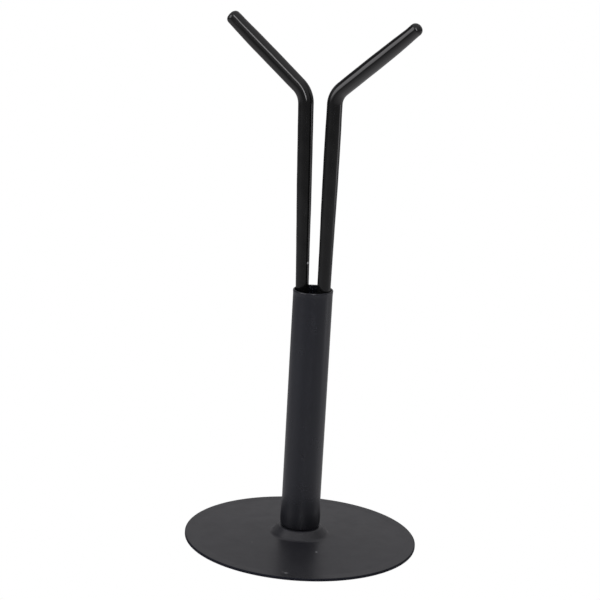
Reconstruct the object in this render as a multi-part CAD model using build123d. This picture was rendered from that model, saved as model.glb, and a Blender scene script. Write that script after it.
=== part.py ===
from build123d import *
import math
import os

os.makedirs("parts", exist_ok=True)

# Forked display stand: a pressed round base, a straight tube post, and a
# two-pronged fork that slides and turns in the post. Millimetres, +Z up.
# Origin: centre of the resting plane. +X towards the right prong, the fork
# lies in the plane y = 0 at rest.

# ---------------- driving dimensions ----------------
PAD_PROUD = 0.4          # the pad lifts the plate's edge this far
SHEET = 0.9              # base sheet thickness
BASE_D = 76.2            # 3 inch disc
RIM_FLAT_R = 34.6        # flat annulus starts here
DISH_RISE = 1.26         # rise of the dish between the flat annulus and the boss foot
BOSS_FOOT_R = 9.4
BOSS_TOP_R = 7.1
BOSS_RISE = 2.70
POST_OD = 12.7           # 1/2 inch tube
POST_WALL = 0.45
POST_LEN = 81.0
FOOT_BEAD = 0.23         # enamel bead round the lower end of the post
RIM_LIP = 0.07           # enamel lip round the mouth
PLATE_HOLE_R = 2.25
SCREW_R = 2.0            # M4
SCREW_LEN = 10.0
HEAD_R = 4.2
HEAD_H = 2.2
FLAT_WASHER = (2.15, 4.5, 0.8)    # inner radius, outer radius, thickness
LOCK_WASHER = (2.05, 3.7, 0.9)
FOOT_PLUG_LEN = 8.0
PAD_R = (11.5, 33.0)

PRONG_X = 3.34           # the carrier's two holes
WIRE_R = 1.6             # core wire
HOLE_GAP = 0.16
CARRIER_R = 5.83
CARRIER_TOP = 50.3
HOLE_FLOOR = 42.5
NECK_R = 4.12
RING_Z = 39.05
RING_R = 0.85            # section radius
RING_MAJOR = 5.03
CARRIER_FOOT = (36.3, 38.1)
LEFT_BEND_R = 7.8        # centreline radius where a prong turns outward
RIGHT_BEND_R = 6.6
LOW_BEND_R = 300.0       # very gentle set in each wire inside the tube
LEFT_BEND = (-6.03, 149.01)
LEFT_TIP = (-32.72, 171.69)
LEFT_LEAN = 0.0361       # outward slope of the left prong above the mouth
RIGHT_BEND = (3.60, 149.10)
RIGHT_TIP = (29.29, 171.87)
RIGHT_SET = (64.4, 80.4) # the right wire moves out to the tube wall between these heights
SLEEVE_START = 50.8
COAT_LOW_R = 2.05        # coat inside the tube
CORE_SHORT = 2.6         # the core ends this far inside the coated tip

PLATE_Z = PAD_PROUD                       # underside of the plate's edge
BOSS_TOP = PLATE_Z + SHEET + DISH_RISE + BOSS_RISE - 0.01
POST_Z0 = BOSS_TOP
POST_Z1 = POST_Z0 + POST_LEN
RO = POST_OD / 2
RI = RO - POST_WALL


def turned(face):
    """A full turn of a half profile drawn in the XZ plane."""
    return revolve(face, axis=Axis.Z, revolution_arc=360)


def xz(points):
    return [(p[0], 0, p[1]) for p in points]


def profile(*pieces):
    """A face in the XZ plane from edges that meet end to end."""
    return make_face(Wire(list(pieces)))


def save(solid, name):
    if isinstance(solid, (list, ShapeList)):
        solid = Compound(children=list(solid))
    solid.label = name
    export_step(solid, f"parts/{name}.step")


# ---------------- base plate ----------------
hr = BASE_D / 2
poly = Polyline(*xz([
    (PLATE_HOLE_R, BOSS_TOP),
    (BOSS_TOP_R, BOSS_TOP),
    (BOSS_FOOT_R, BOSS_TOP - BOSS_RISE),
    (RIM_FLAT_R, PLATE_Z + SHEET),
    (hr, PLATE_Z + SHEET),
    (hr, PLATE_Z),
    (RIM_FLAT_R + 0.1, PLATE_Z),
    (BOSS_FOOT_R - 0.35, BOSS_TOP - BOSS_RISE - SHEET),
    (BOSS_TOP_R - 0.45, BOSS_TOP - SHEET),
    (PLATE_HOLE_R, BOSS_TOP - SHEET),
    (PLATE_HOLE_R, BOSS_TOP),
]))
plate_face = make_face(poly)


def corner(face, r, z):
    return min(face.vertices(), key=lambda v: (v.X - r) ** 2 + (v.Z - z) ** 2)


for r, z, rad in [
    (BOSS_TOP_R, BOSS_TOP, 0.9),
    (BOSS_FOOT_R, BOSS_TOP - BOSS_RISE, 1.6),
    (RIM_FLAT_R, PLATE_Z + SHEET, 12.0),
    (hr, PLATE_Z + SHEET, 0.18),
    (hr, PLATE_Z, 0.15),
    (RIM_FLAT_R + 0.1, PLATE_Z, 12.0),
    (BOSS_FOOT_R - 0.35, BOSS_TOP - BOSS_RISE - SHEET, 0.7),
    (BOSS_TOP_R - 0.45, BOSS_TOP - SHEET, 0.5),
]:
    plate_face = fillet(corner(plate_face, r, z), rad)
base_plate = turned(plate_face)
save(base_plate, "base_plate")

# ---------------- anti-slip pad ----------------
# A soft ring stuck under the dish; its top follows the dish underside.
slope = (DISH_RISE) / (RIM_FLAT_R + 0.1 - (BOSS_FOOT_R - 0.35))


def under(r):
    return PLATE_Z + slope * (RIM_FLAT_R + 0.1 - r)


pad_face = make_face(Polyline(*xz([
    (PAD_R[0], 0.0),
    (PAD_R[1], 0.0),
    (PAD_R[1], under(PAD_R[1]) - 0.02),
    (PAD_R[0], under(PAD_R[0]) - 0.02),
    (PAD_R[0], 0.0),
])))
foot_pad = turned(pad_face)
save(foot_pad, "foot_pad")

# ---------------- fixing screw and washers ----------------
z_under = BOSS_TOP - SHEET
fw_z = z_under - FLAT_WASHER[2]
lw_z = fw_z - LOCK_WASHER[2]


def ring(r_in, r_out, z0, h, edge=0.12):
    face = make_face(Polyline(*xz([
        (r_in, z0), (r_out, z0), (r_out, z0 + h), (r_in, z0 + h), (r_in, z0)])))
    face = fillet([corner(face, r_out, z0), corner(face, r_out, z0 + h)], edge)
    return turned(face)


save(ring(FLAT_WASHER[0], FLAT_WASHER[1], fw_z, FLAT_WASHER[2]), "flat_washer")
# spring lock washer: a split ring with a skew slot
lock = ring(LOCK_WASHER[0], LOCK_WASHER[1], lw_z, LOCK_WASHER[2])
slot = Pos(3.0, 0, lw_z + 0.45) * Rot(25, 0, 0) * Box(3.4, 0.5, 3.0)
save(lock - slot, "lock_washer")

head_z = lw_z - HEAD_H
shank_top = lw_z + SCREW_LEN
head = turned(profile(
    Line((0, 0, head_z), (1.6, 0, head_z)),
    ThreePointArc((1.6, 0, head_z), (3.35, 0, head_z + 0.42), (HEAD_R, 0, head_z + 1.25)),
    Line((HEAD_R, 0, head_z + 1.25), (HEAD_R, 0, lw_z)),
    Line((HEAD_R, 0, lw_z), (0, 0, lw_z)),
    Line((0, 0, lw_z), (0, 0, head_z)),
))
shank = Pos(0, 0, lw_z) * Cylinder(SCREW_R, SCREW_LEN, align=(Align.CENTER, Align.CENTER, Align.MIN))
shank = chamfer(shank.faces().sort_by(Axis.Z)[-1].edges(), 0.4)
# cross recess tapering upward
recess = None
for turn in (0, 90):
    blade = loft([
        Plane(origin=(0, 0, head_z - 0.1)) * (Rot(0, 0, turn) * Rectangle(4.0, 0.95)),
        Plane(origin=(0, 0, head_z + 1.35)) * (Rot(0, 0, turn) * Rectangle(1.9, 0.7)),
    ])
    recess = blade if recess is None else recess + blade
base_screw = head + shank - recess
save(base_screw, "base_screw")

# ---------------- threaded foot plug ----------------
plug = Pos(0, 0, POST_Z0) * Cylinder(RI, FOOT_PLUG_LEN, align=(Align.CENTER, Align.CENTER, Align.MIN))
plug -= Pos(0, 0, POST_Z0 - 1) * Cylinder(SCREW_R, FOOT_PLUG_LEN + 2, align=(Align.CENTER, Align.CENTER, Align.MIN))
plug = chamfer(plug.edges().filter_by(GeomType.CIRCLE).filter_by(lambda e: e.radius > 3), 0.4)
save(plug, "foot_plug")

# ---------------- post tube ----------------
z0, z1 = POST_Z0, POST_Z1
outer_foot = Spline(*xz([
    (RI + 0.14, z0),
    (RO - 0.17, z0 + 0.10),
    (RO + 0.06, z0 + 0.62),
    (RO + 0.18, z0 + 1.55),
    (RO + FOOT_BEAD, z0 + 3.0),
    (RO + FOOT_BEAD - 0.03, z0 + 4.6),
    (RO + 0.10, z0 + 6.2),
    (RO + 0.02, z0 + 7.6),
    (RO, z0 + 9.0),
]), tangents=[(1, 0, 0), (0, 0, 1)])
outer_rim = Spline(*xz([
    (RO, z1 - 1.6),
    (RO + RIM_LIP * 0.6, z1 - 0.8),
    (RO + RIM_LIP, z1 - 0.38),
    (RO - 0.02, z1 - 0.08),
    (RO - 0.22, z1),
]), tangents=[(0, 0, 1), (-1, 0, 0)])
inner_rim = ThreePointArc((RI + 0.2, 0, z1), (RI + 0.2 - 0.2 * math.sin(math.radians(45)), 0, z1 - 0.2 + 0.2 * math.cos(math.radians(45))), (RI, 0, z1 - 0.2))
tube_face = profile(
    outer_foot,
    Line((RO, 0, z0 + 9.0), (RO, 0, z1 - 1.6)),
    outer_rim,
    Line((RO - 0.22, 0, z1), (RI + 0.2, 0, z1)),
    inner_rim,
    Line((RI, 0, z1 - 0.2), (RI, 0, z0)),
    Line((RI, 0, z0), (RI + 0.14, 0, z0)),
)
post_tube = turned(tube_face)
save(post_tube, "post_tube")

# ---------------- friction ring ----------------
friction_ring = Pos(0, 0, RING_Z) * Torus(RING_MAJOR, RING_R)
save(friction_ring, "friction_ring")

# ---------------- fork carrier ----------------
cf0, cf1 = CARRIER_FOOT
carrier_face = make_face(Polyline(*xz([
    (0, cf0), (CARRIER_R, cf0), (CARRIER_R, cf1), (NECK_R, cf1),
    (NECK_R, RING_Z + (RING_Z - cf1)), (CARRIER_R, RING_Z + (RING_Z - cf1)),
    (CARRIER_R, CARRIER_TOP), (0, CARRIER_TOP), (0, cf0)])))
carrier_face = chamfer([corner(carrier_face, CARRIER_R, cf0), corner(carrier_face, CARRIER_R, CARRIER_TOP)], 0.5)
carrier = turned(carrier_face)
for sx in (-1, 1):
    carrier -= Pos(sx * PRONG_X, 0, HOLE_FLOOR) * Cylinder(
        WIRE_R + HOLE_GAP, 20, align=(Align.CENTER, Align.CENTER, Align.MIN))
# a core-out between the two holes and a vent through the middle
carrier -= Pos(0, 0, cf0 - 1) * Cylinder(0.8, 20, align=(Align.CENTER, Align.CENTER, Align.MIN))
save(carrier, "fork_carrier")


# ---------------- prongs ----------------
def unit(a, b):
    d = math.hypot(b[0] - a[0], b[1] - a[1])
    return ((b[0] - a[0]) / d, (b[1] - a[1]) / d)


def turn(a, b, c, rad):
    """Start, middle and end of the arc of radius rad that rounds corner b of a-b-c."""
    u, v = unit(b, a), unit(b, c)
    half = math.acos(max(-1, min(1, u[0] * v[0] + u[1] * v[1]))) / 2
    t = rad / math.tan(half)
    p = (b[0] + u[0] * t, b[1] + u[1] * t)
    q = (b[0] + v[0] * t, b[1] + v[1] * t)
    w = (u[0] + v[0], u[1] + v[1])
    n = math.hypot(*w)
    w = (w[0] / n, w[1] / n)
    k = rad / math.sin(half) - rad
    return p, (b[0] + w[0] * k, b[1] + w[1] * k), q


def at(p):
    return (p[0], 0, p[1])


def circle_at(p, d, r):
    return Plane(origin=at(p), x_dir=(0, 1, 0), z_dir=(d[0], 0, d[1])) * Circle(r)


def spun(p, d, rings, tip=None):
    """Solid of revolution about the line from p along d; rings are (distance, radius).
    tip rounds the far end with an arc of that radius."""
    s0, r0 = rings[0]
    s1, r1 = rings[-1]
    outer = Spline(*[(r, 0, s) for s, r in rings], tangents=[(0, 0, 1), (0, 0, 1)]) if len(rings) > 2 \
        else Line((r0, 0, s0), (r1, 0, s1))
    edges = [Line((0, 0, s0), (r0, 0, s0)), outer]
    if tip:
        k = math.sin(math.radians(45))
        edges.append(ThreePointArc((r1, 0, s1), (r1 - tip + tip * k, 0, s1 + tip * k), (r1 - tip, 0, s1 + tip)))
        edges.append(Line((r1 - tip, 0, s1 + tip), (0, 0, s1 + tip)))
        edges.append(Line((0, 0, s1 + tip), (0, 0, s0)))
    else:
        edges += [Line((r1, 0, s1), (0, 0, s1)), Line((0, 0, s1), (0, 0, s0))]
    body = turned(make_face(Wire(edges)))
    return Plane(origin=at(p), x_dir=(0, 1, 0), z_dir=(d[0], 0, d[1])) * body


def prong(side, low_corners, bend, bend_r, tip, leg_rings, arm_rings, tip_round):
    """side -1 left, 1 right. low_corners are the gentle sets in the wire inside the tube."""
    x = side * PRONG_X
    start = (x, HOLE_FLOOR + HOLE_GAP)
    coat_start = (x, SLEEVE_START)
    wire_path, coat_path = [], []
    here_w, here_c = start, coat_start
    corners = low_corners + [bend]
    for k, c in enumerate(low_corners):
        p, m, q = turn(here_w, c, corners[k + 1], LOW_BEND_R)
        arc = ThreePointArc(at(p), at(m), at(q))
        wire_path += [Line(at(here_w), at(p)), arc]
        coat_path += [Line(at(here_c), at(p)), arc]
        here_w = here_c = q
    leg_from = here_w
    leg_dir = unit(leg_from, bend)
    u_arm = unit(bend, tip)
    core_end = (tip[0] - u_arm[0] * CORE_SHORT, tip[1] - u_arm[1] * CORE_SHORT)
    a, m2, b = turn(leg_from, bend, tip, bend_r)
    elbow_arc = ThreePointArc(at(a), at(m2), at(b))
    wire_path += [Line(at(leg_from), at(a)), elbow_arc, Line(at(b), at(core_end))]
    core = sweep(circle_at(start, (0, 1), WIRE_R), path=Wire(wire_path))
    leg_len = math.hypot(a[0] - leg_from[0], a[1] - leg_from[1])
    arm_len = math.hypot(tip[0] - b[0], tip[1] - b[1])
    low = sweep(circle_at(coat_start, (0, 1), COAT_LOW_R), path=Wire(coat_path))
    leg = spun(leg_from, leg_dir, [(s, r) for s, r in leg_rings(leg_from, leg_len)])
    elbow = sweep(circle_at(a, leg_dir, leg_rings(leg_from, leg_len)[-1][1]), path=Wire([elbow_arc]))
    arm = spun(b, u_arm, [(s * (arm_len - tip_round), r) for s, r in arm_rings], tip=tip_round)
    coat = low + leg + elbow + arm - core
    return core, coat


def leg_profile(rings):
    """Coat radius up a leg: thin inside the tube, then rings of (share of the way from mouth to bend, radius)."""
    def f(leg_from, length):
        mouth = POST_Z1 - leg_from[1]
        return [(0, COAT_LOW_R)] + [(mouth + s * (length - mouth), r) for s, r in rings]
    return f


left_line_z = LEFT_BEND[1] - (-LEFT_BEND[0] - PRONG_X) / LEFT_LEAN
left_core, left_coat = prong(
    -1, [(-PRONG_X, left_line_z)], LEFT_BEND, LEFT_BEND_R, LEFT_TIP,
    leg_rings=leg_profile([(0, 2.10), (0.25, 2.19), (0.55, 2.37), (0.85, 2.42), (1, 2.44)]),
    arm_rings=[(0, 2.44), (0.3, 2.48), (0.6, 2.48), (0.85, 2.37), (1, 2.25)],
    tip_round=1.55)
right_core, right_coat = prong(
    1, [(PRONG_X, RIGHT_SET[0]), (RIGHT_BEND[0], RIGHT_SET[1])], RIGHT_BEND, RIGHT_BEND_R, RIGHT_TIP,
    leg_rings=leg_profile([(0, 2.15), (0.25, 2.25), (0.55, 2.45), (0.8, 2.50), (1, 2.42)]),
    arm_rings=[(0, 2.42), (0.3, 2.40), (0.6, 2.31), (0.85, 2.14), (1, 1.98)],
    tip_round=1.75)
save(left_core, "left_prong_wire")
save(left_coat, "left_prong_sleeve")
save(right_core, "right_prong_wire")
save(right_coat, "right_prong_sleeve")
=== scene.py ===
import bpy
import bmesh
import math
import numpy as np
from mathutils import Matrix, Vector


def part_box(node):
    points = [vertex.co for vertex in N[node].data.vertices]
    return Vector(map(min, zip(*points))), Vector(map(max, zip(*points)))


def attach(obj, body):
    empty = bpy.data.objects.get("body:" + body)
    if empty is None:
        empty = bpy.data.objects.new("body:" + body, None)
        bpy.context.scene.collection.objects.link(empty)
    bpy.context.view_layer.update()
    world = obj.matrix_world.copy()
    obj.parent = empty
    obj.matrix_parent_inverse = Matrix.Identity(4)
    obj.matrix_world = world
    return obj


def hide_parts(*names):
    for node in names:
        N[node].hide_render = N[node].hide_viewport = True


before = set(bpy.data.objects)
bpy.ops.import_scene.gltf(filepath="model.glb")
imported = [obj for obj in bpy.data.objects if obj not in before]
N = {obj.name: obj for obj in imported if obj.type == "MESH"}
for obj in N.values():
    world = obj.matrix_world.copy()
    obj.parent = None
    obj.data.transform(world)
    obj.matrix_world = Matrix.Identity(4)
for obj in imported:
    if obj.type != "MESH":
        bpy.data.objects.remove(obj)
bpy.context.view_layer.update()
MM = 0.001
TURN = math.radians(19.878)              # the fork's plane is turned this much from square-on


# ------------------------------------------------------------------ node helpers
def new_mat(name):
    m = bpy.data.materials.new(name)
    m.use_nodes = True
    nt = m.node_tree
    nt.nodes.clear()
    out = nt.nodes.new("ShaderNodeOutputMaterial")
    bsdf = nt.nodes.new("ShaderNodeBsdfPrincipled")
    nt.links.new(bsdf.outputs[0], out.inputs[0])
    return m, nt, bsdf, out


def node(nt, kind, **props):
    n = nt.nodes.new(kind)
    for k, v in props.items():
        if k.startswith("in_"):
            key = k[3:]
            n.inputs[int(key) if key.isdigit() else key.replace("_", " ")].default_value = v
        else:
            setattr(n, k, v)
    return n


def link(nt, a, b):
    nt.links.new(a, b)


def coords(nt):
    """Place on the object in its own frame, in metres."""
    t = nt.nodes.new("ShaderNodeTexCoord")
    return t.outputs["Object"]


def noise(nt, vec, scale, detail=4.0, rough=0.55, stretch=None, w=None):
    if stretch is not None:
        mp = node(nt, "ShaderNodeMapping")
        mp.inputs["Scale"].default_value = stretch
        link(nt, vec, mp.inputs["Vector"])
        vec = mp.outputs[0]
    n = node(nt, "ShaderNodeTexNoise", noise_dimensions="3D")
    n.inputs["Scale"].default_value = scale
    n.inputs["Detail"].default_value = detail
    n.inputs["Roughness"].default_value = rough
    link(nt, vec, n.inputs["Vector"])
    return n.outputs["Fac"]


def ramp(nt, fac, stops, interp="LINEAR"):
    r = node(nt, "ShaderNodeValToRGB")
    r.color_ramp.interpolation = interp
    els = r.color_ramp.elements
    while len(els) > 1:
        els.remove(els[-1])
    els[0].position, els[0].color = stops[0][0], col(stops[0][1])
    for p, c in stops[1:]:
        e = els.new(p)
        e.color = col(c)
    link(nt, fac, r.inputs[0])
    return r.outputs[0]


def col(c):
    if isinstance(c, (int, float)):
        c = (c, c, c)
    return tuple(c) + (1.0,) if len(c) == 3 else tuple(c)


def math_node(nt, op, a, b=None, clamp=False):
    n = node(nt, "ShaderNodeMath", operation=op, use_clamp=clamp)
    for i, x in enumerate((a, b)):
        if x is None:
            continue
        if isinstance(x, (int, float)):
            n.inputs[i].default_value = x
        else:
            link(nt, x, n.inputs[i])
    return n.outputs[0]


def mix_rgb(nt, fac, a, b, blend="MIX"):
    n = node(nt, "ShaderNodeMix", data_type="RGBA", blend_type=blend)
    for key, x in ((0, fac), (6, a), (7, b)):
        if isinstance(x, (int, float)) and key == 0:
            n.inputs[0].default_value = x
        elif isinstance(x, (int, float, tuple)):
            n.inputs[key].default_value = col(x)
        else:
            link(nt, x, n.inputs[key])
    return n.outputs[2]


def map_range(nt, x, a, b, c, d, smooth=False):
    n = node(nt, "ShaderNodeMapRange")
    n.clamp = True
    if smooth:
        n.interpolation_type = "SMOOTHSTEP"
    link(nt, x, n.inputs[0])
    for i, v in zip((1, 2, 3, 4), (a, b, c, d)):
        n.inputs[i].default_value = v
    return n.outputs[0]


def bump(nt, height, strength, dist, normal=None):
    n = node(nt, "ShaderNodeBump")
    n.inputs["Strength"].default_value = strength
    n.inputs["Distance"].default_value = dist
    link(nt, height, n.inputs["Height"])
    if normal is not None:
        link(nt, normal, n.inputs["Normal"])
    return n.outputs[0]


def xyz(nt, vec):
    s = node(nt, "ShaderNodeSeparateXYZ")
    link(nt, vec, s.inputs[0])
    return s.outputs


def radius_from_axis(nt, vec):
    x, y, _ = xyz(nt, vec)
    return math_node(nt, "SQRT", math_node(nt, "ADD", math_node(nt, "MULTIPLY", x, x), math_node(nt, "MULTIPLY", y, y)))


# ------------------------------------------------------------------ mesh helpers
def mesh_object(name, verts, faces, smooth=True):
    me = bpy.data.meshes.new(name)
    me.from_pydata([tuple(v) for v in verts], [], faces)
    me.validate()
    me.update()
    if smooth:
        me.polygons.foreach_set("use_smooth", [True] * len(me.polygons))
    o = bpy.data.objects.new(name, me)
    bpy.context.scene.collection.objects.link(o)
    return o


def rounded(points, arc_step=0.16):
    """Closed outline in (r, z) millimetres with some corners rounded: (r, z, radius)."""
    out = []
    n = len(points)
    for i in range(n):
        p = np.array(points[i][:2], float)
        rad = points[i][2] if len(points[i]) > 2 else 0
        a = np.array(points[i - 1][:2], float)
        b = np.array(points[(i + 1) % n][:2], float)
        if rad <= 0:
            out.append(p)
            continue
        u = (a - p) / np.linalg.norm(a - p)
        v = (b - p) / np.linalg.norm(b - p)
        half = math.acos(max(-1, min(1, float(u @ v)))) / 2
        t = rad / math.tan(half)
        s, e = p + u * t, p + v * t
        w = (u + v) / np.linalg.norm(u + v)
        c = p + w * rad / math.sin(half)
        a0 = math.atan2(*(s - c)[::-1])
        a1 = math.atan2(*(e - c)[::-1])
        d = (a1 - a0 + math.pi) % (2 * math.pi) - math.pi
        k = max(3, int(abs(d) * rad / arc_step))
        k = min(k, 24)
        for j in range(k + 1):
            t_ = a0 + d * j / k
            out.append(c + rad * np.array([math.cos(t_), math.sin(t_)]))
    return out


def split_long(loop, limit):
    """Adds points along long straight stretches so that fine shape can follow."""
    out = []
    n = len(loop)
    for i in range(n):
        a, b = np.array(loop[i], float), np.array(loop[(i + 1) % n], float)
        out.append(a)
        k = int(np.linalg.norm(b - a) / limit)
        for j in range(1, k + 1):
            out.append(a + (b - a) * j / (k + 1))
    return out


def turned(name, loop, seg=256, shift=None):
    """Closed (r, z) loop in mm, turned about Z. shift(x, y, z, r) returns a small (dr, dz) in mm."""
    verts, faces = [], []
    m = len(loop)
    for s in range(seg):
        a = 2 * math.pi * s / seg
        ca, sa = math.cos(a), math.sin(a)
        for r, z in loop:
            dr, dz = shift(r * ca, r * sa, z, r) if shift else (0, 0)
            verts.append(((r + dr) * ca * MM, (r + dr) * sa * MM, (z + dz) * MM))
    for s in range(seg):
        t = (s + 1) % seg
        for i in range(m):
            j = (i + 1) % m
            faces.append((s * m + i, t * m + i, t * m + j, s * m + j))
    o = mesh_object(name, verts, faces)
    fix_normals(o)
    return o


def fix_normals(o):
    bm = bmesh.new()
    bm.from_mesh(o.data)
    bmesh.ops.recalc_face_normals(bm, faces=bm.faces)
    bm.to_mesh(o.data)
    bm.free()


def swept(name, pts, tans, side, rad, seg=72, wobble=None):
    """A closed round rod along pts (mm), in the plane of X and Z. rad(i, angle) in mm, and the
    first and last rings close to a point."""
    verts, faces = [], []
    n = len(pts)
    for i in range(n):
        p, t = np.array(pts[i], float), np.array(tans[i], float)
        t /= np.linalg.norm(t)
        y = np.array([0.0, 1.0, 0.0])
        x = np.cross(y, t)
        for s in range(seg):
            a = 2 * math.pi * s / seg
            r = rad(i, a)
            v = p + r * (math.cos(a) * x + math.sin(a) * y)
            verts.append(v * MM)
    for i in range(n - 1):
        for s in range(seg):
            t_ = (s + 1) % seg
            faces.append((i * seg + s, i * seg + t_, (i + 1) * seg + t_, (i + 1) * seg + s))
    a = len(verts)
    verts.append(np.array(pts[0]) * MM)
    verts.append(np.array(pts[-1]) * MM)
    for s in range(seg):
        t_ = (s + 1) % seg
        faces.append((a, t_, s))
        faces.append((a + 1, (n - 1) * seg + s, (n - 1) * seg + t_))
    o = mesh_object(name, verts, faces)
    fix_normals(o)
    return o


def hermite(xs, ys):
    """Smooth curve through points with no overshoot."""
    xs, ys = np.array(xs, float), np.array(ys, float)
    h, d = np.diff(xs), np.diff(ys) / np.diff(xs)
    m = np.zeros(len(xs))
    for i in range(1, len(xs) - 1):
        if d[i - 1] * d[i] > 0:
            w1, w2 = 2 * h[i] + h[i - 1], h[i] + 2 * h[i - 1]
            m[i] = (w1 + w2) / (w1 / d[i - 1] + w2 / d[i])

    def f(x):
        x = np.clip(x, xs[0], xs[-1])
        i = int(np.clip(np.searchsorted(xs, x) - 1, 0, len(xs) - 2))
        t = (x - xs[i]) / h[i]
        return ((2 * t ** 3 - 3 * t ** 2 + 1) * ys[i] + (t ** 3 - 2 * t ** 2 + t) * h[i] * m[i]
                + (-2 * t ** 3 + 3 * t ** 2) * ys[i + 1] + (t ** 3 - t ** 2) * h[i] * m[i + 1])
    return f


# ------------------------------------------------------------------ sizes, from the CAD frame
lo_p, hi_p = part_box("base_plate")
lo_t, hi_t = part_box("post_tube")
BASE_R = (hi_p.x - lo_p.x) / 2 / MM
PLATE_Z = lo_p.z / MM                    # underside of the plate's edge
BOSS_TOP = lo_t.z / MM
POST_TOP = hi_t.z / MM
FOOT_R = (hi_t.x - lo_t.x) / 2 / MM      # widest, at the enamel bead
RO = FOOT_R - 0.23
RI = RO - 0.45
SHEET, DISH, BOSS_RISE = 0.9, 1.26, 2.70
RIM_FLAT, BOSS_FOOT, BOSS_R = 34.6, 9.4, 7.1

# ------------------------------------------------------------------ base plate
plate_outline = rounded([
    (2.25, BOSS_TOP),
    (BOSS_R, BOSS_TOP, 0.9),
    (BOSS_FOOT, BOSS_TOP - BOSS_RISE, 1.6),
    (RIM_FLAT, PLATE_Z + SHEET, 12.0),
    (BASE_R, PLATE_Z + SHEET, 0.18),
    (BASE_R, PLATE_Z, 0.15),
    (RIM_FLAT + 0.1, PLATE_Z, 12.0),
    (BOSS_FOOT - 0.35, BOSS_TOP - BOSS_RISE - SHEET, 0.7),
    (BOSS_R - 0.45, BOSS_TOP - SHEET, 0.5),
    (2.25, BOSS_TOP - SHEET),
], arc_step=0.1)


def plate_shift(x, y, z, r):
    # pressed sheet is never dead flat: a few hundredths of slow waviness away from the boss and rim
    k = max(0.0, min(1.0, (r - 11) / 6)) * max(0.0, min(1.0, (37.0 - r) / 5))
    a = math.atan2(y, x)
    return 0.0, 0.018 * k * (math.sin(2 * a + 0.7) + 0.6 * math.sin(3 * a - 1.1 + r * 0.09))


plate = turned("plate_pressed", split_long(plate_outline, 0.9), seg=320, shift=plate_shift)
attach(plate, "stand_base")
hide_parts("base_plate")

# ------------------------------------------------------------------ post
foot = hermite([0, 0.10, 0.62, 1.55, 3.0, 4.6, 6.2, 7.6, 9.0],
               [RO - 0.30, RO - 0.17, RO + 0.06, RO + 0.18, RO + 0.23, RO + 0.20, RO + 0.10, RO + 0.02, RO])
outer = [(RI, BOSS_TOP)]
for s in [0, 0.03, 0.07, 0.12, 0.2, 0.32, 0.46, 0.62, 0.85, 1.15, 1.5, 1.9, 2.4, 3, 3.6, 4.2, 4.8, 5.5, 6.2, 6.9, 7.6, 8.3, 9.0]:
    outer.append((foot(s), BOSS_TOP + s))
z = 12.0
while z < POST_TOP - BOSS_TOP - 3:
    outer.append((RO, BOSS_TOP + z))
    z += 2.0
lip = hermite([0, 0.8, 1.22, 1.6], [RO, RO + 0.045, RO + 0.07, RO + 0.06])
for s in [0, 0.3, 0.6, 0.9, 1.1, 1.22, 1.34]:
    outer.append((lip(s), POST_TOP - 1.6 + s))
for a in range(1, 9):
    t = math.radians(90 * a / 8)
    outer.append((RO + 0.06 - 0.26 * (1 - math.cos(t)), POST_TOP - 0.26 + 0.26 * math.sin(t)))
for a in range(0, 8):
    t = math.radians(90 * a / 7)
    outer.append((RI + 0.2 * (1 - math.sin(t)), POST_TOP - 0.2 * (1 - math.cos(t))))
z = POST_TOP - 2
while z > BOSS_TOP + 3:
    outer.append((RI, z))
    z -= 3.0


def post_shift(x, y, z, r):
    if r < RO - 0.1:
        return 0.0, 0.0
    a = math.atan2(y, x)
    k = max(0.0, 1 - (z - BOSS_TOP) / 9)
    top = max(0.0, 1 - (POST_TOP - z) / 1.6)
    return 0.02 * k * math.sin(3 * a + 0.4) + 0.016 * top * math.sin(5 * a + 1.3), 0.0


post = turned("post_enamelled", outer, seg=192, shift=post_shift)
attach(post, "stand_base")
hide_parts("post_tube")

# ------------------------------------------------------------------ coated prongs
PRONG_X = 3.34
SLEEVE_START = 50.8
LEFT_BEND_R, RIGHT_BEND_R = 7.8, 6.6
LOW_BEND_R = 300.0
COAT_LOW_R = 2.05


def corner_arc(a, b, c, rad):
    a, b, c = (np.array(p, float) for p in (a, b, c))
    u = (a - b) / np.linalg.norm(a - b)
    v = (c - b) / np.linalg.norm(c - b)
    half = math.acos(max(-1, min(1, float(u @ v)))) / 2
    t = rad / math.tan(half)
    w = (u + v) / np.linalg.norm(u + v)
    return b + u * t, b + w * rad / math.sin(half), b + v * t


def trace(corners, radii, step=0.6):
    """Points along a path of straights joined by arcs, the distance to each point, and
    the distance at each arc's start and end."""
    pts, marks = [np.array(corners[0], float)], []
    here = np.array(corners[0], float)
    for k in range(1, len(corners) - 1):
        p, c, q = corner_arc(here, corners[k], corners[k + 1], radii[k - 1])
        n = max(2, int(np.linalg.norm(p - here) / step))
        pts += [here + (p - here) * j / n for j in range(1, n + 1)]
        marks.append(len(pts) - 1)
        a0, a1 = math.atan2(*(p - c)[::-1]), math.atan2(*(q - c)[::-1])
        d = (a1 - a0 + math.pi) % (2 * math.pi) - math.pi
        n = max(10, int(abs(d) * radii[k - 1] / (step * 0.5)))
        n = min(n, 40)
        pts += [c + radii[k - 1] * np.array([math.cos(a0 + d * j / n), math.sin(a0 + d * j / n)]) for j in range(1, n + 1)]
        marks.append(len(pts) - 1)
        here = q
    e = np.array(corners[-1], float)
    n = max(2, int(np.linalg.norm(e - here) / step))
    pts += [here + (e - here) * j / n for j in range(1, n + 1)]
    pts = np.array(pts)
    dist = np.r_[0, np.cumsum(np.linalg.norm(np.diff(pts, axis=0), axis=1))]
    return pts, dist, [dist[m] for m in marks]


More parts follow.
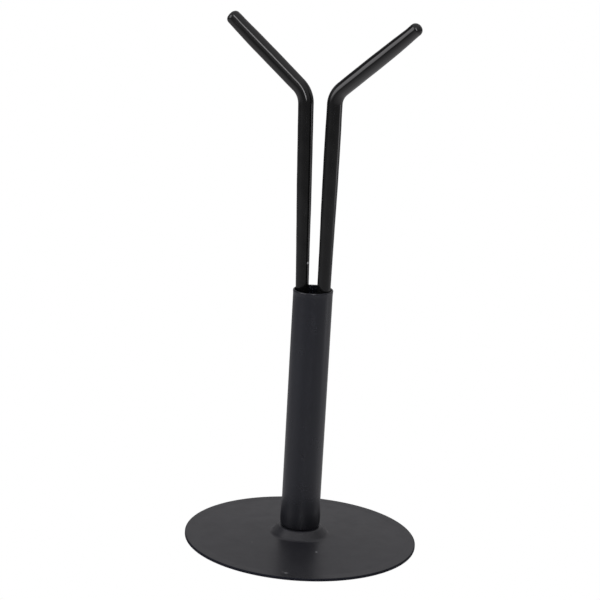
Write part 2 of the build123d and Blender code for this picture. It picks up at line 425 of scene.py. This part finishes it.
def coated_prong(name, corners, radii, rings, tip_round, tip_flat, lumps, side, node_name, body):
    """rings: (share of the way, radius) between named stations; lumps: (distance from tip, angle,
    height, length, spread) in mm and radians, soft swellings of the dipped coat."""
    pts, dist, marks = trace(corners, radii)
    total = dist[-1]
    stations = rings(marks, total)
    f = hermite([s for s, _ in stations], [r for _, r in stations])
    r_end = f(total - tip_round)
    # body rings, then the rounded end
    path, rad_at = [], []
    for p, d in zip(pts, dist):
        if d < total - tip_round - 0.05:
            path.append((p, d))
    u = (pts[-1] - pts[-2]) / np.linalg.norm(pts[-1] - pts[-2])
    for k in range(0, 15):
        t = math.radians(90 * k / 14)
        d = total - tip_round + tip_round * math.sin(t)
        path.append((pts[-1] - u * (total - d), d))
    P = [np.array([p[0], 0, p[1]]) for p, d in path]
    D = [d for _, d in path]
    T = []
    for i in range(len(P)):
        a, b = P[max(0, i - 1)], P[min(len(P) - 1, i + 1)]
        T.append(b - a)
    T[-1] = T[-2] = T[-15] = np.array([u[0], 0, u[1]])
    for i in range(len(P) - 15, len(P)):
        T[i] = np.array([u[0], 0, u[1]])

    def rad(i, a):
        d = D[i]
        if d > total - tip_round:
            s = (d - (total - tip_round)) / tip_round
            r = (r_end - tip_round * tip_flat) + tip_round * tip_flat * math.sqrt(max(0.0, 1 - s * s))
        else:
            r = f(d)
        for dl, al, hl, ll, wl in lumps:
            x = (total - d - dl) / ll
            y = ((a - al + math.pi) % (2 * math.pi) - math.pi) / wl
            r += hl * math.exp(-x * x - y * y)
        # slow unevenness of a dipped coat
        fade = min(1.0, max(0.0, (d - 40) / 12))
        r += fade * 0.012 * (math.sin(d * 0.31 + 1.7 * side) * math.cos(a + d * 0.05) + 0.7 * math.sin(d * 0.73 + 2 * a))
        return r

    o = swept(name, P, T, side, rad, seg=80)
    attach(o, body)
    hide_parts(node_name)
    return o


LB, LT = (-6.03, 149.01), (-32.72, 171.69)
RB, RT = (3.60, 149.10), (29.29, 171.87)
LOW = (-PRONG_X, LB[1] - (-LB[0] - PRONG_X) / 0.0361)
RIGHT_SET = (64.4, 80.4)
MOUTH = POST_TOP


def coat_stations(leg, arm, tip_round):
    """Coat radius along a prong: thin up to the mouth, leg rings from mouth to bend, arm rings from bend to tip."""
    def f(marks, total):
        a, b = marks[-2], marks[-1]
        m = MOUTH - SLEEVE_START
        out = [(0, COAT_LOW_R)] + [(m + s * (a - m), r) for s, r in leg]
        return out + [(b + s * (total - b - tip_round), r) for s, r in arm]
    return f


left = coated_prong("coat_left", [(-PRONG_X, SLEEVE_START), LOW, LB, LT], [LOW_BEND_R, LEFT_BEND_R],
                    coat_stations([(0, 2.10), (0.25, 2.19), (0.55, 2.37), (0.85, 2.42), (1, 2.44)],
                                  [(0, 2.44), (0.3, 2.48), (0.6, 2.48), (0.85, 2.37), (1, 2.25)], 1.55),
                    1.55, 0.95, [(2.6, 0.0, 0.10, 1.6, 0.8)], -1, "left_prong_sleeve", "left_prong")
right = coated_prong("coat_right", [(PRONG_X, SLEEVE_START), (PRONG_X, RIGHT_SET[0]), (RB[0], RIGHT_SET[1]), RB, RT],
                     [LOW_BEND_R, LOW_BEND_R, RIGHT_BEND_R],
                     coat_stations([(0, 2.15), (0.25, 2.25), (0.55, 2.45), (0.8, 2.50), (1, 2.42)],
                                   [(0, 2.42), (0.3, 2.40), (0.6, 2.31), (0.85, 2.14), (1, 1.98)], 1.75),
                     1.75, 1.0, [(1.9, math.pi, 0.16, 1.5, 0.8), (13.0, 0.0, 0.11, 11.0, 1.0)], 1, "right_prong_sleeve", "right_prong")


# ------------------------------------------------------------------ materials
def enamel(name, base, dark, light, rough, peel, grain, spec=0.5, painted_rim_shade=None, specks=(), foot=None):
    """Baked enamel: faint orange peel, fine pigment grain, cloudy gloss, dust specks."""
    m, nt, b, _ = new_mat(name)
    v = coords(nt)
    cloud = noise(nt, v, 90, 3, 0.5)
    fine = noise(nt, v, 2600, 2, 0.6)
    c = ramp(nt, cloud, [(0.3, dark), (0.7, base)])
    c = mix_rgb(nt, map_range(nt, fine, 0.60, 0.78, 0, 0.40), c, light)
    # painted shade: the plate's rim face darkened to a bluish near-black, also rougher and less specular
    if painted_rim_shade:
        r = radius_from_axis(nt, v)
        c = mix_rgb(nt, map_range(nt, r, painted_rim_shade[0], painted_rim_shade[1], 0, painted_rim_shade[2], True), c, painted_rim_shade[3])
    for (sx, sy, sr, amount, tone) in specks:
        x, y, zz = xyz(nt, v)
        d2 = math_node(nt, "SQRT", math_node(nt, "ADD",
                       math_node(nt, "POWER", math_node(nt, "SUBTRACT", x, sx), 2),
                       math_node(nt, "POWER", math_node(nt, "SUBTRACT", y, sy), 2)))
        c = mix_rgb(nt, map_range(nt, d2, sr * 0.4, sr, amount, 0, True), c, tone)
    painted_foot_shade = None
    if foot:                                 # painted shade: colour darkened towards the post's foot, also rougher and less specular there
        painted_foot_shade = map_range(nt, xyz(nt, v)[2], foot[0], foot[1], 0.45, 1.0, True)
        c = mix_rgb(nt, painted_foot_shade, (0.0012, 0.0012, 0.0016), c)
    link(nt, c, b.inputs["Base Color"])
    rg = map_range(nt, noise(nt, v, 160, 4, 0.6), 0.3, 0.7, rough - 0.035, rough + 0.035)
    if painted_rim_shade:
        r = radius_from_axis(nt, v)
        rg = math_node(nt, "ADD", rg, map_range(nt, r, painted_rim_shade[0], painted_rim_shade[1], 0, 0.25, True))
    if painted_foot_shade is not None:
        rg = math_node(nt, "ADD", rg, map_range(nt, painted_foot_shade, 0.45, 1.0, 0.20, 0.0))
    link(nt, rg, b.inputs["Roughness"])
    if painted_rim_shade:
        link(nt, map_range(nt, r, painted_rim_shade[0], painted_rim_shade[1], spec, spec * 0.25, True), b.inputs["Specular IOR Level"])
    elif painted_foot_shade is not None:
        link(nt, math_node(nt, "MULTIPLY", map_range(nt, painted_foot_shade, 0.45, 1.0, 0.62, 1.0), spec), b.inputs["Specular IOR Level"])
    else:
        b.inputs["Specular IOR Level"].default_value = spec
    h1 = bump(nt, noise(nt, v, 520, 2, 0.5), peel, 0.00004)
    h2 = bump(nt, fine, grain, 0.000012, h1)
    link(nt, h2, b.inputs["Normal"])
    return m


# dust caught in the enamel: place on the plate, radius, share, tone
SPECKS = [(-0.0106, -0.0155, 0.00045, 0.45, (0.11, 0.11, 0.115)),
          (0.0111, -0.0133, 0.00050, 0.85, (0.19, 0.19, 0.20)),
          (0.0084, -0.0333, 0.00080, 0.65, (0.12, 0.12, 0.125)),
          (0.0072, -0.0331, 0.00050, 0.30, (0.09, 0.09, 0.095))]
# base enamel; its rim band is painted shade
BASE_MAT = enamel("base_enamel", (0.0102, 0.0102, 0.0134), (0.0082, 0.0082, 0.0108), (0.034, 0.034, 0.037), 0.36, 0.22, 0.35,
                  painted_rim_shade=(0.0377, 0.0380, 0.85, (0.003, 0.0033, 0.008)), specks=SPECKS)
# post enamel; its foot band is painted shade darkening the lowest 13 mm
POST_MAT = enamel("post_enamel", (0.0072, 0.0078, 0.0120), (0.0058, 0.0064, 0.0100), (0.014, 0.015, 0.020), 0.25, 0.16, 0.18,
                  foot=(BOSS_TOP * MM, (BOSS_TOP + 13) * MM))


def vinyl(name, base, rough, pale_spots=()):
    """Dipped vinyl: glossy, softly uneven, with very fine surface pitting and rub marks."""
    m, nt, b, _ = new_mat(name)
    v = coords(nt)
    c = ramp(nt, noise(nt, v, 140, 3, 0.5), [(0.3, tuple(x * 0.85 for x in base)), (0.7, tuple(x * 1.15 for x in base))])
    rub = noise(nt, v, 420, 5, 0.7, stretch=(1, 1, 0.25))
    c = mix_rgb(nt, map_range(nt, rub, 0.66, 0.80, 0, 0.35), c, (0.03, 0.03, 0.032))
    # small pale spots mixed into the colour
    for (sx, sy, sz, sr, tone) in pale_spots:
        p = node(nt, "ShaderNodeVectorMath", operation="DISTANCE")
        link(nt, v, p.inputs[0])
        p.inputs[1].default_value = (sx, sy, sz)
        c = mix_rgb(nt, map_range(nt, p.outputs["Value"], sr * 0.5, sr, 1, 0, True), c, tone)
    link(nt, c, b.inputs["Base Color"])
    rg = map_range(nt, noise(nt, v, 260, 4, 0.65), 0.3, 0.7, rough - 0.03, rough + 0.05)
    rg = math_node(nt, "ADD", rg, map_range(nt, rub, 0.62, 0.80, 0, 0.18))
    link(nt, rg, b.inputs["Roughness"])
    h1 = bump(nt, noise(nt, v, 300, 3, 0.5), 0.25, 0.00005)
    h2 = bump(nt, noise(nt, v, 2400, 2, 0.5), 0.12, 0.000008, h1)
    link(nt, h2, b.inputs["Normal"])
    return m


VINYL = vinyl("dip_coat", (0.0040, 0.0040, 0.0042), 0.115,
              pale_spots=((-0.0020, -0.0006, 0.0948, 0.00055, (0.30, 0.30, 0.31)),))   # a small pale spot painted low on the left leg


def rubber(name, base, pores):
    m, nt, b, _ = new_mat(name)
    v = coords(nt)
    vor = node(nt, "ShaderNodeTexVoronoi", feature="F1")
    vor.inputs["Scale"].default_value = pores
    link(nt, v, vor.inputs["Vector"])
    cell = vor.outputs["Distance"]
    c = ramp(nt, cell, [(0.05, tuple(x * 0.45 for x in base)), (0.5, base)])
    c = mix_rgb(nt, map_range(nt, noise(nt, v, 300, 5), 0.4, 0.75, 0, 0.4), c, tuple(x * 1.9 for x in base))
    link(nt, c, b.inputs["Base Color"])
    b.inputs["Roughness"].default_value = 0.86
    link(nt, map_range(nt, noise(nt, v, 500, 3), 0.3, 0.7, 0.78, 0.95), b.inputs["Roughness"])
    link(nt, bump(nt, cell, 0.6, 0.00012), b.inputs["Normal"])
    return m


def metal(name, base, rough, streak, axis_stretch, tint=None):
    m, nt, b, _ = new_mat(name)
    v = coords(nt)
    b.inputs["Metallic"].default_value = 1.0
    s = noise(nt, v, streak, 4, 0.6, stretch=axis_stretch)
    c = ramp(nt, s, [(0.3, tuple(x * 0.8 for x in base)), (0.7, base)])
    if tint:
        c = mix_rgb(nt, map_range(nt, noise(nt, v, 260, 3), 0.45, 0.7, 0, 0.35), c, tint)
    link(nt, c, b.inputs["Base Color"])
    link(nt, map_range(nt, s, 0.3, 0.7, rough - 0.06, rough + 0.08), b.inputs["Roughness"])
    link(nt, bump(nt, s, 0.25, 0.00003), b.inputs["Normal"])
    return m


def nylon(name):
    m, nt, b, _ = new_mat(name)
    v = coords(nt)
    c = ramp(nt, noise(nt, v, 220, 4), [(0.3, (0.018, 0.018, 0.019)), (0.7, (0.03, 0.03, 0.031))])
    link(nt, c, b.inputs["Base Color"])
    link(nt, map_range(nt, noise(nt, v, 700, 3), 0.3, 0.7, 0.45, 0.6), b.inputs["Roughness"])
    link(nt, bump(nt, noise(nt, v, 1500, 2), 0.2, 0.00002), b.inputs["Normal"])
    return m


ZINC = metal("zinc_steel", (0.60, 0.61, 0.64), 0.30, 900, (1, 1, 1), (0.66, 0.64, 0.55))
STEEL = metal("bare_steel", (0.46, 0.46, 0.47), 0.36, 900, (1, 1, 0.08))
PAD = rubber("pad_foam", (0.022, 0.022, 0.023), 1400)
RING = rubber("ring_rubber", (0.015, 0.015, 0.015), 4000)
NYLON = nylon("nylon")


def paint(obj, mat):
    obj.data.materials.clear()
    obj.data.materials.append(mat)


paint(plate, BASE_MAT)
paint(post, POST_MAT)
paint(left, VINYL)
paint(right, VINYL)
for name, mat in {
    "base_plate": BASE_MAT, "post_tube": POST_MAT, "left_prong_sleeve": VINYL, "right_prong_sleeve": VINYL,
    "foot_pad": PAD, "base_screw": ZINC, "lock_washer": ZINC, "flat_washer": ZINC, "foot_plug": STEEL,
    "friction_ring": RING, "fork_carrier": NYLON, "left_prong_wire": STEEL, "right_prong_wire": STEEL,
}.items():
    paint(N[name], mat)

# ------------------------------------------------------------------ floor, sky and lights
def window(nt, v, a, b, soft):
    """1 between a and b, falling off over soft at each side."""
    return math_node(nt, "MULTIPLY", map_range(nt, v, a - soft, a + soft, 0, 1, True), map_range(nt, v, b - soft, b + soft, 1, 0, True))


def times(nt, a, b):
    return math_node(nt, "MULTIPLY", a, b)


def plus(nt, a, b):
    return math_node(nt, "ADD", a, b)


def curve(nt, v, stops, lo, hi):
    """Grey level along v between lo and hi, through stops of (place, level up to 2)."""
    return times(nt, ramp(nt, map_range(nt, v, lo, hi, 0, 1), [((p - lo) / (hi - lo), g / 2.0) for p, g in stops]), 2.0)


def studio(nt, vec):
    """What shiny surfaces see in direction vec: a pale table below, a dim room at eye level, a broad
    softbox on the left, a narrow tall one in front and a bright opening low on the right."""
    x, y, z = xyz(nt, vec)
    c, s_ = math.cos(TURN), math.sin(TURN)
    bx = plus(nt, times(nt, x, c), times(nt, y, s_))
    by = plus(nt, times(nt, x, -s_), times(nt, y, c))
    az = times(nt, math_node(nt, "ARCTAN2", bx, times(nt, by, -1.0)), 57.29578)
    el = times(nt, math_node(nt, "ARCSINE", z), 57.29578)
    side = math_node(nt, "ABSOLUTE", az)
    level = curve(nt, el, [(-90, 1.05), (-58, 1.05), (-45, 0.72), (-30, 0.60), (-20, 0.46), (-17, 0.42), (-13, 0.34),
                           (-9, 0.18), (-5, 0.14), (0, 0.16), (6, 0.22), (12, 0.33), (15, 0.385), (21, 0.43), (27, 0.45), (40, 0.53), (60, 0.67),
                           (90, 0.50)], -90, 90)
    table = curve(nt, side, [(0, 0.82), (30, 0.86), (60, 1.00), (90, 1.20), (115, 1.12), (150, 0.85), (180, 0.75)], 0, 180)
    low = map_range(nt, el, -8, 0, 1, 0, True)
    deep = map_range(nt, el, -40, -24, 0, 1, True)
    shape = plus(nt, 1.0, times(nt, plus(nt, table, -1.0), times(nt, low, deep)))
    level = times(nt, level, shape)
    for a0, a1, e0, e1, soft, drop in ((-158, -91, 20, 44, 5, 0.82), (85, 130, 26, 46, 6, 0.45),
                                       (-165, -92, -52, -26, 8, 0.35), (-175, -76, -15, 2, 4, 0.55)):
        dim = times(nt, window(nt, az, a0, a1, soft), window(nt, el, e0, e1, soft))
        level = times(nt, level, plus(nt, 1.0, times(nt, dim, -drop)))
    level = plus(nt, level, times(nt, times(nt, map_range(nt, side, 145, 165, 0, 0.26, True), window(nt, el, -12, 6, 4)), 1.0))
    box = times(nt, times(nt, window(nt, az, -85, -43, 5), window(nt, el, 0, 40, 6)), 2.4)
    gap = times(nt, times(nt, window(nt, az, 90, 108, 4), window(nt, el, -12.5, -4.5, 2.0)), 1.4)
    centre = map_range(nt, el, 6, 44, 10.5, -4.5)
    off = math_node(nt, "ABSOLUTE", math_node(nt, "SUBTRACT", az, centre))
    wide = map_range(nt, el, 20, 34, 5.0, 8.0, True)
    strip = map_range(nt, math_node(nt, "DIVIDE", off, wide), 0.55, 1.35, 1, 0, True)
    strip = times(nt, times(nt, strip, window(nt, el, 2, 45, 4)), map_range(nt, el, 20, 32, 8.2, 5.2, True))
    total = plus(nt, plus(nt, level, box), plus(nt, gap, strip))
    n = node(nt, "ShaderNodeCombineColor")
    for k, w in enumerate((1.0, 0.985, 1.01)):
        link(nt, times(nt, total, w), n.inputs[k])
    return n.outputs[0]


bm = bmesh.new()
bmesh.ops.create_grid(bm, x_segments=1, y_segments=1, size=12.0)
me = bpy.data.meshes.new("floor")
bm.to_mesh(me)
bm.free()
floor = bpy.data.objects.new("floor", me)
bpy.context.scene.collection.objects.link(floor)
floor.location = (0, 0, -0.00002)
fm = bpy.data.materials.new("floor_white")
fm.use_nodes = True
nt = fm.node_tree
nt.nodes.clear()
out = nt.nodes.new("ShaderNodeOutputMaterial")
lp = nt.nodes.new("ShaderNodeLightPath")
plain = node(nt, "ShaderNodeEmission")
plain.inputs["Color"].default_value = (1.0, 1.0, 1.0, 1)
glo = node(nt, "ShaderNodeEmission")
geo = nt.nodes.new("ShaderNodeNewGeometry")
flip = node(nt, "ShaderNodeVectorMath", operation="SCALE")
flip.inputs["Scale"].default_value = -1.0
link(nt, geo.outputs["Incoming"], flip.inputs[0])
link(nt, studio(nt, flip.outputs[0]), glo.inputs["Color"])
mx = nt.nodes.new("ShaderNodeMixShader")
link(nt, lp.outputs["Is Glossy Ray"], mx.inputs[0])
link(nt, plain.outputs[0], mx.inputs[1])
link(nt, glo.outputs[0], mx.inputs[2])
link(nt, mx.outputs[0], out.inputs[0])
floor.data.materials.append(fm)

world = bpy.data.worlds.new("studio")
bpy.context.scene.world = world
world.use_nodes = True
nt = world.node_tree
nt.nodes.clear()
out = nt.nodes.new("ShaderNodeOutputWorld")
lp = nt.nodes.new("ShaderNodeLightPath")
tc = nt.nodes.new("ShaderNodeTexCoord")
plain = node(nt, "ShaderNodeBackground")
plain.inputs["Color"].default_value = (1, 1, 1, 1)
gloss = node(nt, "ShaderNodeBackground")
link(nt, studio(nt, tc.outputs["Generated"]), gloss.inputs["Color"])
mx = nt.nodes.new("ShaderNodeMixShader")
link(nt, lp.outputs["Is Glossy Ray"], mx.inputs[0])
link(nt, plain.outputs[0], mx.inputs[1])
link(nt, gloss.outputs[0], mx.inputs[2])
link(nt, mx.outputs[0], out.inputs[0])


def area(name, centre, target, size, size_y, power, color=(1, 1, 1)):
    d = bpy.data.lights.new(name, "AREA")
    d.shape = "RECTANGLE"
    d.size, d.size_y = size, size_y
    d.energy = power
    d.color = color
    o = bpy.data.objects.new(name, d)
    bpy.context.scene.collection.objects.link(o)
    o.rotation_euler = (Vector(target) - Vector(centre)).to_track_quat("-Z", "Y").to_euler()
    o.location = centre
    o.visible_glossy = False             # its reflection is already in the studio
    return o


def bearing(az, el, dist):
    """A place round the stand, az measured from the camera's side, to the right."""
    a, e = math.radians(az), math.radians(el)
    x, y = math.sin(a) * math.cos(e), -math.cos(a) * math.cos(e)
    return Vector((math.cos(TURN) * x - math.sin(TURN) * y, math.sin(TURN) * x + math.cos(TURN) * y, math.sin(e))) * dist


MIDDLE = Vector((0.0, 0.0, 0.10))
area("softbox_left", MIDDLE + bearing(-68, 22, 1.1), MIDDLE, 0.8, 0.5, 4.0, (0.98, 0.98, 1.0))

# ------------------------------------------------------------------ camera
# A long lens, held level and shifted, with the stand off to one side and below its axis.
F_PX, DIST, HEIGHT = 2034.04384, 644.764810 * MM, (247.944411 + 0.4) * MM
PITCH, YAW, ROLL = 0.317583819, -0.163199696, 0.00606004082
SHIFT_X, SHIFT_Y = (300 + 12.99266) / 600, (426.02014 - 300) / 600
sy, cy = math.sin(YAW), math.cos(YAW)
sp, cp = math.sin(PITCH), math.cos(PITCH)
fwd = np.array([sy * cp, cy * cp, -sp])
rgt = np.array([cy, -sy, 0.0])
dwn = np.cross(fwd, rgt)
R = np.array([[math.cos(ROLL), -math.sin(ROLL), 0], [math.sin(ROLL), math.cos(ROLL), 0], [0, 0, 1]]) @ np.array([rgt, dwn, fwd])
RZ = np.array([[math.cos(TURN), -math.sin(TURN), 0], [math.sin(TURN), math.cos(TURN), 0], [0, 0, 1]])
R = R @ RZ.T
place = RZ @ np.array([0.0, -DIST, HEIGHT])
cam_data = bpy.data.cameras.new("camera")
cam_data.sensor_fit = "HORIZONTAL"
cam_data.sensor_width = 36.0
cam_data.lens = F_PX * 36.0 / 600.0
cam_data.clip_start = 0.01
cam_data.clip_end = 100
cam = bpy.data.objects.new("camera", cam_data)
bpy.context.scene.collection.objects.link(cam)
m = Matrix.Identity(4)
for i in range(3):
    m[i][0], m[i][1], m[i][2] = R[0][i], -R[1][i], -R[2][i]
m[0][3], m[1][3], m[2][3] = place
cam.matrix_world = m

# The lens shift belongs to this one camera place. Seen from anywhere else the lens is
# centred, so that the stand stays in the middle of the picture.
stand_point = bpy.data.objects.new("camera_place", None)
bpy.context.scene.collection.objects.link(stand_point)
stand_point.location = place
for prop, value in (("shift_x", SHIFT_X), ("shift_y", SHIFT_Y)):
    setattr(cam_data, prop, value)
    fc = cam_data.driver_add(prop)
    fc.driver.type = "AVERAGE"
    var = fc.driver.variables.new()
    var.type = "LOC_DIFF"
    var.targets[0].id = cam
    var.targets[1].id = stand_point
    while fc.modifiers:
        fc.modifiers.remove(fc.modifiers[0])
    fc.keyframe_points.add(3)
    for k, (gap, v) in enumerate(((0.0, value), (0.02, value), (0.04, 0.0))):
        fc.keyframe_points[k].co = (gap, v)
        fc.keyframe_points[k].interpolation = "LINEAR"
    fc.extrapolation = "CONSTANT"
    fc.update()
bpy.context.scene.camera = cam

bpy.context.scene.view_settings.view_transform = "Standard"
bpy.context.scene.view_settings.look = "None"
bpy.context.scene.view_settings.exposure = 0.0
bpy.context.scene.view_settings.gamma = 1.0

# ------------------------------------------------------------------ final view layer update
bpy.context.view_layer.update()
